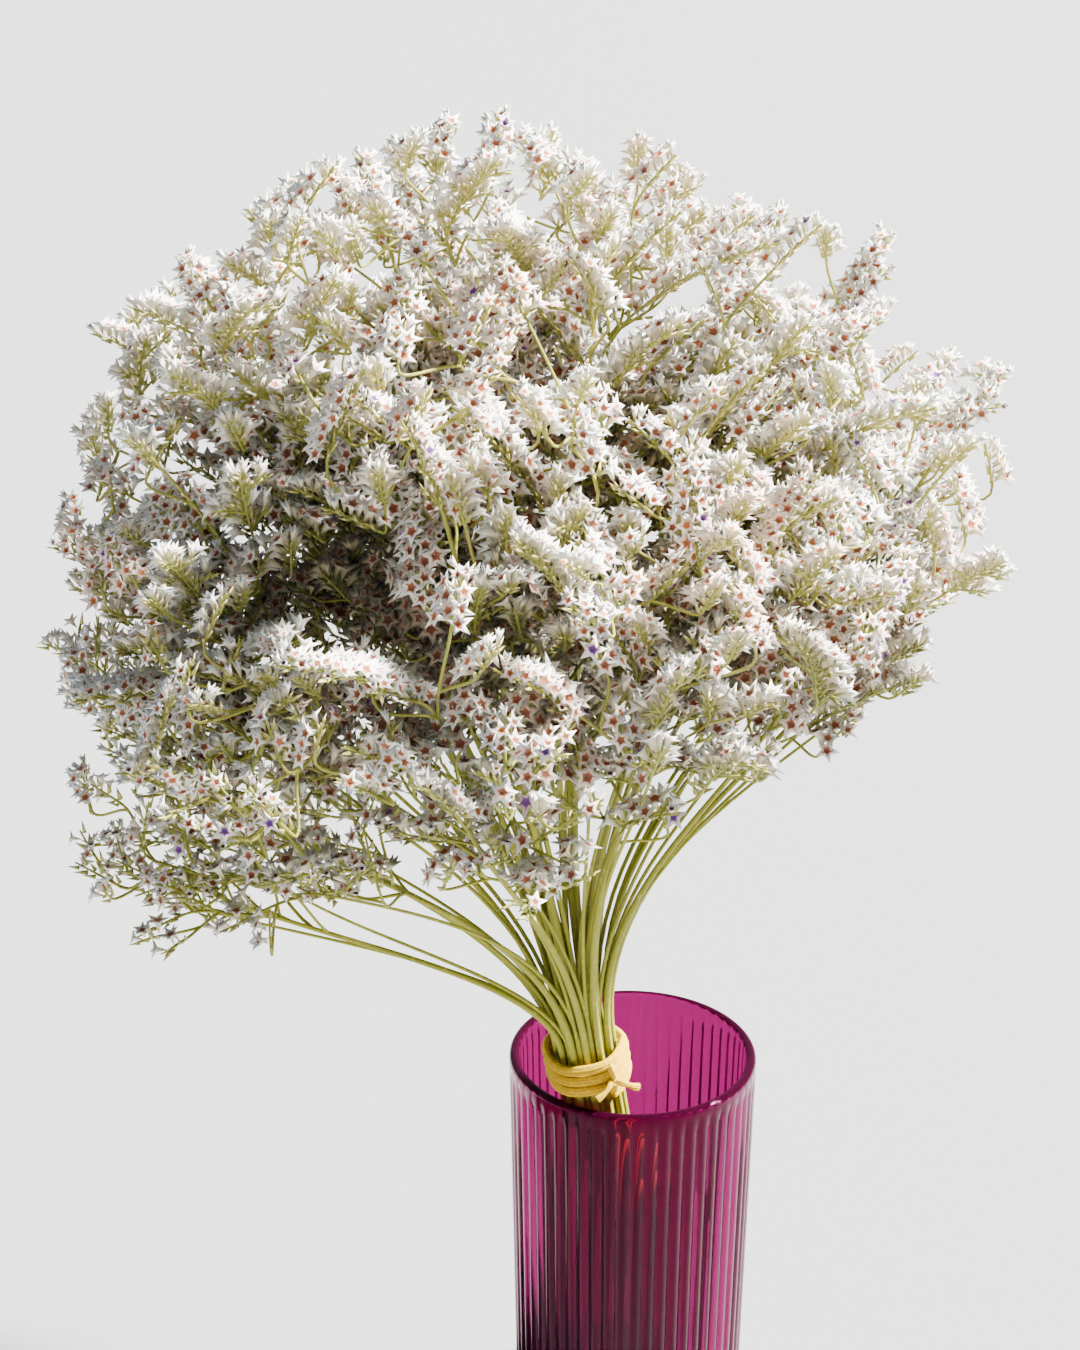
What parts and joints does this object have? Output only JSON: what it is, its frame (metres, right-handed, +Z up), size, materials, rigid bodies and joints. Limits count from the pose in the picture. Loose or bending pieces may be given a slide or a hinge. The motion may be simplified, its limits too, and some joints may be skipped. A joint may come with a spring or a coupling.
{
  "type": "dried german statice in vase",
  "caption": "Tied bunch of dried, branching statice sprays with small white star-shaped florets, leaning in a ribbed magenta glass vase.",
  "frame": {"origin": "middle of the vase's flat foot, on the surface it stands on", "axes": "+Z up along the vase's axis, -Y towards the viewer of the picture, +X to the viewer's right; the bunch leans to the viewer's left and towards the viewer"},
  "size_m": [0.2567, 0.1967, 0.3983],
  "materials": {
    "glass": "gloss",
    "tie": "satin",
    "statice": "matte"
  },
  "bodies": {
    "root": {"vase": "glass", "tie": "tie", "spray_01": "statice", "spray_02": "statice", "spray_03": "statice", "spray_04": "statice", "spray_05": "statice", "spray_06": "statice", "spray_07": "statice", "spray_08": "statice", "spray_09": "statice", "spray_10": "statice", "spray_11": "statice", "spray_12": "statice", "spray_13": "statice", "spray_14": "statice", "spray_15": "statice", "spray_16": "statice", "spray_17": "statice", "spray_18": "statice", "spray_19": "statice"}
  },
  "joints": []
}
